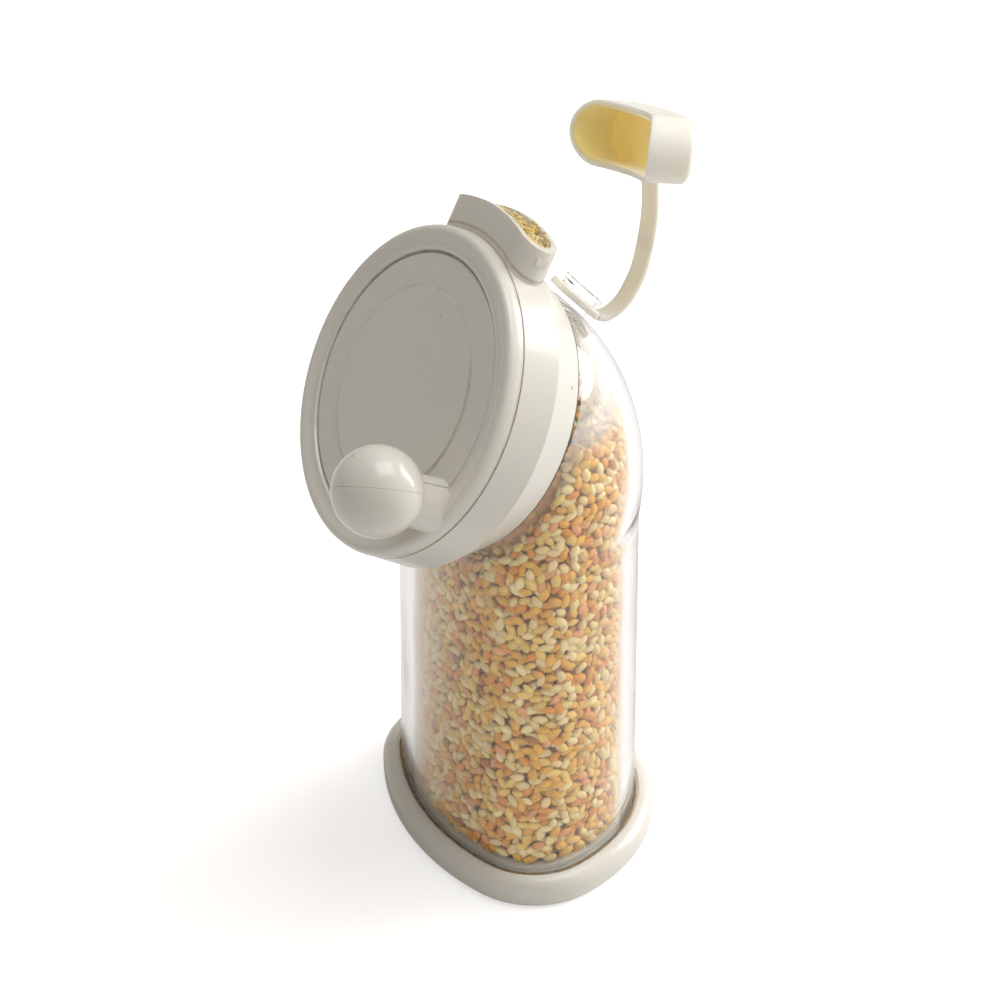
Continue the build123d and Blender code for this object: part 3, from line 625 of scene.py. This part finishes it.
def seed_shape():
    """One low seed: a sphere drawn out to a plump drop, narrower at one end."""
    bm = bmesh.new()
    rows = len(SEED_PROFILE) - 1
    bmesh.ops.create_uvsphere(bm, u_segments=SEED_SIDES, v_segments=rows, radius=1.0)
    for v in bm.verts:
        # the sphere's poles become the seed's two ends
        row = round(math.acos(max(-1.0, min(1.0, v.co.z))) * rows / math.pi)
        x, r = SEED_PROFILE[row]
        angle = math.atan2(-v.co.x, v.co.y)
        v.co = (x, r * math.cos(angle), SEED_FLATNESS * r * math.sin(angle))
    bm.normal_update()
    bmesh.ops.recalc_face_normals(bm, faces=bm.faces)
    bm.verts.index_update()
    verts = [v.co.copy() for v in bm.verts]
    faces = [[v.index for v in f.verts] for f in bm.faces]
    bm.free()
    return verts, faces


class Crowd:
    """Positions already taken, in a grid of cells, so that seeds keep a distance."""

    def __init__(self):
        self.cells = {}

    def key(self, p):
        """The cell that a point is in."""
        return tuple(int(math.floor(c / SEED_CELL)) for c in p)

    def free(self, p, distance):
        """Whether nothing taken lies nearer than distance, which is less than a cell."""
        k = self.key(p)
        for dx in (-1, 0, 1):
            for dy in (-1, 0, 1):
                for dz in (-1, 0, 1):
                    for q in self.cells.get((k[0] + dx, k[1] + dy, k[2] + dz), ()):
                        if (q - p).length < distance:
                            return False
        return True

    def take(self, p):
        """Note a position as taken."""
        self.cells.setdefault(self.key(p), []).append(p)


def wall_samples(rng, inset, tries):
    """Points and inward normals near the inner wall, spread evenly over its area."""
    levels = [SEED_FLOOR + i * 2.0 for i in range(35)] + [BEND_Z] + [i / 24 for i in range(1, 24)]
    around = 120
    rings = [tube_ring(h, WALL + inset, around) for h in levels]
    cells, total, sums = [], 0.0, []
    for a, b in zip(rings, rings[1:]):
        for i in range(around):
            j = (i + 1) % around
            u, v = a[j] - a[i], b[i] - a[i]
            total += u.cross(v).length
            cells.append((a[i], a[j], b[i], b[j], u.cross(v).normalized()))
            sums.append(total)
    for _ in range(tries):
        c = cells[bisect.bisect_left(sums, rng.random() * total)]
        s, t = rng.random(), rng.random()
        p = (c[0] * (1 - s) + c[1] * s) * (1 - t) + (c[2] * (1 - s) + c[3] * s) * t
        yield p, c[4]


def seed_room(p):
    """Whether a seed may lie here: under the heap's wavy top and clear of burr cage and spring cover."""
    depth = head_depth(p)
    off_axis = (p - (RIM_C - OUT * depth)).length
    top = SEED_TOP + 1.2 * math.sin(p.x * 0.35) + 0.8 * math.cos(p.y * 0.4 + 1)
    return p.z < top and depth > CAGE_BACK and not (off_axis < COVER_R and depth < COVER_BACK)


def in_bend(p, inset):
    """Whether a point above the bend's foot lies inside the section pulled in by inset."""
    dy, dz = p.y - BEND_Y, p.z - BEND_Z
    t = math.atan2(dz, dy) / (math.pi / 2 - TILT)
    if not 0 < t < 1:
        return False
    outline = [(q.x, math.hypot(q.y - BEND_Y, q.z - BEND_Z)) for q in tube_ring(t, inset, 40)]
    x, d, hit = p.x, math.hypot(dy, dz), False
    for (xa, da), (xb, db) in zip(outline, outline[1:] + outline[:1]):
        if (da > d) != (db > d) and x < xa + (d - da) / (db - da) * (xb - xa):
            hit = not hit
    return hit


def seed_places(rng):
    """Where seeds lie: a point, the direction that a seed's flat side faces and how far it leans."""
    placed = []
    for inset, gap, tries, lean in SEED_LAYERS:
        crowd = Crowd()
        for p, normal in wall_samples(rng, inset, tries):
            if seed_room(p) and crowd.free(p, gap):
                crowd.take(p)
                placed.append((p, normal, lean))
    # the heap's top, seen through the dome
    crowd = Crowd()
    for _ in range(9000):
        p = Vector((rng.uniform(-24, 24), rng.uniform(-8, 30), SEED_TOP - rng.uniform(0.3, 2.6)))
        if in_bend(p, WALL + 1.3) and seed_room(p) and crowd.free(p, 1.75):
            crowd.take(p)
            placed.append((p, Vector((0, 0, 1)), 0.6))
    return placed


def make_seeds():
    """All seeds, as a lower and an upper piece, each seed with its own turn, size and tone."""
    rng = random.Random(11)
    shape, faces = seed_shape()
    placed = seed_places(rng)
    tones = [t for t, n in SEED_TONES for _ in range(n)]
    halves = [bmesh.new(), bmesh.new()]
    layers = [bm.verts.layers.float_color.new("seed_tone") for bm in halves]
    for p, normal, lean in placed:
        which = 0 if p.z < SEED_SPLIT else 1
        bm, layer = halves[which], layers[which]
        turn = Matrix.Rotation(rng.uniform(0, 2 * math.pi), 3, "Z")
        tip = Matrix.Rotation(rng.gauss(0, lean), 3, "X") @ Matrix.Rotation(rng.gauss(0, lean), 3, "Y")
        face = normal.to_track_quat("Z", "Y").to_matrix()
        size = rng.uniform(0.86, 1.08)
        m = face @ tip @ turn @ Matrix.Diagonal((size, size * rng.uniform(0.92, 1.08), size))
        r, g, b = rng.choice(tones)
        toast = rng.uniform(0.88, 1.12)
        tone = (min(1, r * toast), min(1, g * toast * rng.uniform(0.96, 1.03)), min(1, b * toast), 1)
        verts = []
        for v in shape:
            nv = bm.verts.new(p + m @ v)
            nv[layer] = tone
            verts.append(nv)
        for face_ids in faces:
            bm.faces.new([verts[i] for i in face_ids])
    for bm, name in zip(halves, ("seeds_lower", "seeds_upper")):
        bmesh.ops.scale(bm, vec=(MM, MM, MM), verts=bm.verts)
        for f in bm.faces:
            f.smooth = True
        piece = as_object(bm, name, seed_skin)
        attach(piece, "grinder")


def make_seed_bed():
    """Dark bed behind the seeds against the wall, closed by a flat top under the heap's."""
    bm = bmesh.new()
    heights = [6.3, 20.0, 40.0, 60.0, BEND_Z] + [i / 16 for i in range(1, 15)]
    outer = [tube_ring(h, WALL + 3.3, 72) for h in heights]
    inner_side = [tube_ring(h, WALL + 4.6, 72) for h in reversed(heights)]
    skin(bm, outer + inner_side, close=True)
    cut = bmesh.ops.bisect_plane(bm, geom=bm.verts[:] + bm.edges[:] + bm.faces[:], dist=1e-5,
                                 plane_co=(0, 0, SEED_TOP - 2.6), plane_no=(0, 0, 1), clear_outer=True)
    rim = [e for e in cut["geom_cut"] if isinstance(e, bmesh.types.BMEdge)]
    bmesh.ops.triangle_fill(bm, edges=rim, use_beauty=True)
    return finish_mesh(bm, "seed_bed", seed_bed_skin, sharp=40)


make_seeds()
make_seed_bed()


def make_dust_film():
    """Thin skin just inside the wall, which carries the pale dust and the painted reflection haze."""
    bm = bmesh.new()
    heights = [7.0, 20.0, 40.0, 60.0, BEND_Z] + [i / 20 for i in range(1, 20)]
    skin(bm, [tube_ring(h, WALL + 0.12, 96) for h in heights])
    return finish_mesh(bm, "seed_dust", film)


make_dust_film()


def make_foot_grime():
    """Brown line of dirt in the corner where the container stands in the base."""
    material, tree, shader = plain_material("foot_grime")
    streak = noise(tree, object_place(tree), Scale=240.0, Detail=4.0, Roughness=0.7)
    tree.links.new(ramp(tree, streak, [(0.3, (0.20, 0.11, 0.04, 1)), (0.7, (0.42, 0.27, 0.11, 1))]),
                   shader.inputs["Base Color"])
    tree.links.new(ramp(tree, streak, [(0.35, 0.15), (0.6, 0.9)]), shader.inputs["Alpha"])
    tree.links.new(math_node(tree, "ADD", streak, 0.2), shader.inputs["Roughness"])
    bm = bmesh.new()
    # how far each line lies outside the container's foot, and its height
    lines = ((0.02, 6.25), (0.12, 6.02), (0.42, 5.93))
    skin(bm, [[Vector((x, y, z)) for x, y in oval(FOOT_INSET - out, 120)] for out, z in lines])
    return finish_mesh(bm, "foot_grime", material, body="base")


make_foot_grime()


# ------------------------------------------------------------------ ground sesame in the spout
def arch(x):
    """Height of the spout's arched top, sideways from its middle."""
    return SPOUT_ARCH_FOOT + math.sqrt(SPOUT_ARCH ** 2 - x ** 2)


def channel_reach(y, radius):
    """Half the length of the spout's channel at a distance y from its middle line."""
    return CHANNEL_HALF + math.sqrt(max(0.0, radius ** 2 - y ** 2))


def make_meal():
    """Ground sesame packed in the spout's channel, with loose crumbs on top and up on the rim."""
    rng = random.Random(5)
    bm = bmesh.new()
    # packed meal fills the channel to 1.7 under the mouth, with an uneven top
    bmesh.ops.create_grid(bm, x_segments=50, y_segments=12, size=1.0)
    for v in bm.verts:
        y = v.co.y * 2.85
        x = v.co.x * channel_reach(y, 2.86)
        top = arch(x) - 1.7 + 0.5 * math.sin(x * 1.9) * math.cos(y * 1.7) + rng.uniform(-0.35, 0.35)
        v.co = spout(x, top, -SPOUT_DEPTH - y)
    # loose crumbs, a few of them up on the rim's inner edge: sideways, across, lift and size
    crumbs = [(rng.uniform(-12.0, 12.0), rng.uniform(-2.6, 2.6), rng.uniform(-1.9, -0.4),
               rng.uniform(0.3, 0.75)) for _ in range(300)]
    crumbs += [(rng.uniform(2.0, 12.4), rng.choice((-2.7, 2.7)) + rng.uniform(-0.2, 0.2),
                rng.uniform(-0.5, 0.2), rng.uniform(0.2, 0.45)) for _ in range(46)]
    for x, y, lift, size in crumbs:
        if abs(x) > channel_reach(y, CHANNEL_R) - 0.3:
            continue
        flake = bmesh.ops.create_icosphere(bm, subdivisions=1, radius=size)["verts"]
        squeeze = Matrix.Diagonal((1.0, rng.uniform(0.5, 0.9), rng.uniform(0.3, 0.65))).to_4x4()
        spin = Matrix.Rotation(rng.uniform(0, 6.28), 4, (rng.random(), rng.random(), rng.random() + 0.01))
        place = Matrix.Translation(spout(x, arch(x) + lift, -SPOUT_DEPTH - y))
        bmesh.ops.transform(bm, matrix=place @ spin @ squeeze, verts=flake)
    return finish_mesh(bm, "ground_sesame", meal, smooth=False)


make_meal()


# ------------------------------------------------------------------ strap from the tab to the cap
CAP_RIM_C = Vector((-5.54, 29.6, 145.6))
CAP_MOUTH = Vector((-0.0900, -0.9581, 0.2718)).normalized()
CAP_LONG = Vector((0.9490, 0.0, 0.3142)).normalized()
CAP_ACROSS = CAP_MOUTH.cross(CAP_LONG)
CAP_ATTACH = CAP_RIM_C - CAP_MOUTH * 5.2 - CAP_ACROSS * 6.25
STRAP_LINE = [Vector((0, 20.2, 113.75)), Vector((0, 21.9, 113.2)), Vector((0, 23.9, 113.8)),
              Vector((0, 25.7, 115.1)), Vector((-0.2, 27.4, 117.0)), Vector((-0.8, 29.6, 120.4)),
              Vector((-1.5, 31.4, 126.0)), Vector((-2.2, 32.5, 132.2)), CAP_ATTACH + CAP_ACROSS * 0.2]
STRAP_WIDTH = [3.6, 3.6, 3.7, 3.9, 4.2, 4.6, 5.0, 5.2, 5.2]
STRAP_THICK, STRAP_EDGE = 1.2, 0.45
STRAP_STEPS = 8             # rings between two points of the line
STRAP_SPLIT = 6             # the point where the strap's lower and upper lengths meet


def smooth_line(points, steps):
    """Points along a Catmull-Rom line through points, ends kept."""
    ext = [points[0] * 2 - points[1]] + points + [points[-1] * 2 - points[-2]]
    line = []
    for i in range(1, len(ext) - 2):
        p0, p1, p2, p3 = ext[i - 1:i + 3]
        for k in range(steps):
            t = k / steps
            line.append(0.5 * ((2 * p1) + (p2 - p0) * t + (2 * p0 - 5 * p1 + 4 * p2 - p3) * t * t
                               + (3 * p1 - p0 - 3 * p2 + p3) * t ** 3))
    return line + [points[-1]]


def make_strap():
    """The strap's two lengths, swept along its line while its width and its turn change."""
    line = smooth_line(STRAP_LINE, STRAP_STEPS)
    count = len(line)
    rings = []
    for i, p in enumerate(line):
        ahead = (line[min(i + 1, count - 1)] - line[max(i - 1, 0)]).normalized()
        # over its upper half it turns from the tab's direction to the cap's
        share = max(0.0, (i / (count - 1) - 0.5) / 0.5)
        k, part = min(i // STRAP_STEPS, len(STRAP_WIDTH) - 2), i / STRAP_STEPS
        width = STRAP_WIDTH[k] + (STRAP_WIDTH[k + 1] - STRAP_WIDTH[k]) * (part - k)
        wide = Vector((1, 0, 0)).lerp(CAP_LONG, share)
        wide = (wide - ahead * wide.dot(ahead)).normalized()
        thick = ahead.cross(wide)
        rings.append([p + wide * x + thick * y for x, y in rounded(width, STRAP_THICK, STRAP_EDGE, 3)])
    cut = STRAP_SPLIT * STRAP_STEPS
    pieces = []
    for name, part in (("strap_lower", rings[:cut + 1]), ("strap_upper", rings[cut:])):
        bm = bmesh.new()
        loops = skin(bm, part)
        # the two lengths meet open, so that no wall stands across the strap
        bmesh.ops.holes_fill(bm, edges=loops[0] if name == "strap_lower" else loops[-1], sides=0)
        pieces.append(finish_mesh(bm, name, soft, body=None, sharp=50))
    return pieces


strap_lower, strap_upper = make_strap()
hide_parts("cap_strap")
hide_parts("strap_end")
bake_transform(strap_lower)
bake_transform(strap_upper)


# ------------------------------------------------------------------ finishes of the other pieces
# the hollow, 29.2 x 9.8, and its roof, an arch 7.2 above the rim, both measured from 2 inside the rim
HOLLOW_MIDDLE = CAP_RIM_C - CAP_MOUTH * 2.0
HOLLOW_HALF, ROOF_FOOT = 9.7, 30.35


def cap_hollow(tree, place):
    """1 inside the cap's obround, arch-roofed hollow and 0 outside it, place being from HOLLOW_MIDDLE."""
    lengthwise = along(tree, place, CAP_LONG, PER_METRE)
    across = along(tree, place, CAP_ACROSS, PER_METRE)
    deep = along(tree, place, -CAP_MOUTH, PER_METRE)
    past_end = math_node(tree, "SUBTRACT", math_node(tree, "ABSOLUTE", lengthwise), HOLLOW_HALF)
    past_end = math_node(tree, "MAXIMUM", past_end, 0.0)
    reach = math_node(tree, "SQRT", math_node(tree, "ADD", math_node(tree, "MULTIPLY", past_end, past_end),
                                              math_node(tree, "MULTIPLY", across, across)))
    in_side = ramp(tree, math_node(tree, "DIVIDE", reach, 10.0), [(0.515, 1.0), (0.54, 0.0)])
    roof = math_node(tree, "SQRT", math_node(tree, "SUBTRACT", SPOUT_ARCH ** 2,
                                             math_node(tree, "MULTIPLY", lengthwise, lengthwise)))
    under_roof = math_node(tree, "SUBTRACT", math_node(tree, "SUBTRACT", roof, ROOF_FOOT), deep)
    in_roof = math_node(tree, "DIVIDE", under_roof, 0.3, True)
    return math_node(tree, "MULTIPLY", in_side, in_roof, True)


def cap_material():
    """Soft cap: pale outside, inside stained yellow by oil and lit by a painted glow."""
    material, tree, shader = plain_material("oil_stained_cap")
    g = placed_skin(tree, Tone=SOFT_CREAM, Dirt=OIL_BROWN, Specks=0.4, Roughness=0.25, Grain=0.1, Cloud=CLOUD)
    place = from_point(tree, HOLLOW_MIDDLE)
    mask = cap_hollow(tree, place)
    mottle = noise(tree, object_place(tree), Scale=170.0, Detail=5.0, Roughness=0.65)
    # deeper at the cap's left end, paler from its middle on
    shift = math_node(tree, "MULTIPLY", math_node(tree, "SUBTRACT", mottle, 0.5), 0.5)
    share = math_node(tree, "ADD", along(tree, place, CAP_LONG, PER_METRE / 29.0), 0.5)
    side = math_node(tree, "ADD", share, shift)
    stain = ramp(tree, side, [(0.05, (0.84, 0.70, 0.36, 1)), (0.42, (0.89, 0.77, 0.46, 1)),
                              (0.60, (0.92, 0.86, 0.66, 1)), (0.95, (0.93, 0.88, 0.74, 1))])
    tree.links.new(blend_colour(tree, mask, g.outputs["Color"], stain), shader.inputs["Base Color"])
    tree.links.new(g.outputs["Roughness"], shader.inputs["Roughness"])
    bumped(tree, shader, g.outputs["Height"], 0.12, 0.0001)
    # painted light: the hollow glows, dim at the left end and brighter to the right, standing in for daylight
    # coming through the thin wall
    through = ramp(tree, side, [(0.1, (0.06, 0.045, 0.025, 1)), (0.55, (0.13, 0.115, 0.09, 1)),
                                (0.9, (0.22, 0.22, 0.20, 1))])
    tree.links.new(blend_colour(tree, mask, (0, 0, 0, 1), through), shader.inputs["Emission Color"])
    shader.inputs["Emission Strength"].default_value = 1.0
    let_light_in(shader, 0.8, (1.0, 0.85, 0.6), 0.003)
    return material


finish_of = {
    "base_lid": shell, "head_housing": housing_shell, "crank_disc": disc_shell, "ball_knob": knob_shell,
    "strap_tab": soft, "spout_cap": cap_material(), "lid_seal": rubber, "neck_seal": rubber,
    "fixed_burr": ceramic, "turning_burr": ceramic, "drive_shaft": steel, "cage_screws": steel,
    "burr_spring": steel, "spring_washer": steel, "lock_nut": steel, "spacer_washer": bearing,
    "shaft_bush": bearing, "knob_pin": bearing, "burr_cage": inner, "spring_cover": inner,
}
for node, material in finish_of.items():
    slots = nodes[node].data.materials
    slots.clear()
    slots.append(material)


# ------------------------------------------------------------------ floor, lamps and camera
AMBIENT, FLOOR_GLOW = 0.385, 0.52
CAM_TARGET, CAM_DISTANCE, CAM_LENS = Vector((0, 0, 0.07)), 0.6467, 121.07
CAM_BACK = Vector((0.7168, -0.3660, 0.5936))
CAM_RIGHT = Vector((0.4548, 0.8906, 0.0))
CAM_UP = Vector((-0.5287, 0.2700, 0.8048))


def seen_straight(tree):
    """1 for rays from the camera, also through clear plastic, and 0 for the light that falls on things."""
    path = add(tree, "ShaderNodeLightPath")
    return math_node(tree, "MAXIMUM", path.outputs["Is Camera Ray"], path.outputs["Is Transmission Ray"])


def make_stage():
    """A pale floor that looks white, and the light of a room around it."""
    material, tree, shader = plain_material("pale_floor")
    shader.inputs["Base Color"].default_value = (0.86, 0.86, 0.86, 1)
    shader.inputs["Roughness"].default_value = 0.9
    shader.inputs["Specular IOR Level"].default_value = 0.1
    glow = math_node(tree, "MULTIPLY", seen_straight(tree), FLOOR_GLOW)
    tree.links.new(glow, shader.inputs["Emission Strength"])
    shader.inputs["Emission Color"].default_value = (1, 1, 1, 1)
    bm = bmesh.new()
    bmesh.ops.create_circle(bm, cap_ends=True, segments=64, radius=3.0)
    floor = as_object(bm, "floor", material)

    world = bpy.data.worlds.new("studio")
    bpy.context.scene.world = world
    world.use_nodes = True
    tree = world.node_tree
    ground = tree.nodes["Background"]
    seen = seen_straight(tree)
    # the room's light comes more from the right and above, and is a little warm
    toward = add(tree, "ShaderNodeVectorMath", operation="DOT_PRODUCT")
    toward.inputs[1].default_value = (CAM_RIGHT * 0.8 + CAM_UP * 0.6) * 0.72
    tree.links.new(add(tree, "ShaderNodeTexCoord").outputs["Generated"], toward.inputs[0])
    room = math_node(tree, "MULTIPLY", math_node(tree, "ADD", toward.outputs["Value"], 1.0), AMBIENT)
    strength = add(tree, "ShaderNodeMix", data_type="FLOAT")
    tree.links.new(seen, strength.inputs[0])
    tree.links.new(room, strength.inputs[2])
    strength.inputs[3].default_value = 1.0
    tree.links.new(strength.outputs[0], ground.inputs["Strength"])
    tone = blend_colour(tree, seen, (1.0, 0.945, 0.875, 1), (1.0, 1.0, 1.0, 1))
    tree.links.new(tone, ground.inputs["Color"])


def lamp(name, place, width, height, power):
    """A rectangular lamp that shines on the grinder's middle."""
    data = bpy.data.lights.new(name, "AREA")
    data.shape = "RECTANGLE"
    data.size, data.size_y = width, height
    data.energy = power
    obj = bpy.data.objects.new(name, data)
    bpy.context.scene.collection.objects.link(obj)
    obj.location = place
    obj.rotation_euler = (Vector((0, 0, 0.08)) - place).to_track_quat("-Z", "Y").to_euler()


def make_camera():
    """The camera that was fitted to the photograph's edges."""
    data = bpy.data.cameras.new("photo_camera")
    camera = bpy.data.objects.new("photo_camera", data)
    bpy.context.scene.collection.objects.link(camera)
    camera.location = CAM_TARGET + CAM_BACK * CAM_DISTANCE
    camera.rotation_euler = Matrix((CAM_RIGHT, CAM_UP, CAM_BACK)).transposed().to_euler()
    data.sensor_width = 36.0
    data.lens = CAM_LENS
    data.shift_x, data.shift_y = 0.0005, 0.0323
    bpy.context.scene.camera = camera


make_stage()
lamp("window_lamp", CAM_TARGET + CAM_RIGHT * 0.75 + CAM_UP * 0.45 - CAM_BACK * 0.10, 0.5, 0.6, 4.9)
lamp("top_lamp", CAM_TARGET + Vector((0.05, 0.25, 0.9)), 0.6, 0.6, 3.0)
make_camera()
bpy.context.scene.view_settings.view_transform = "Standard"

bpy.context.view_layer.update()
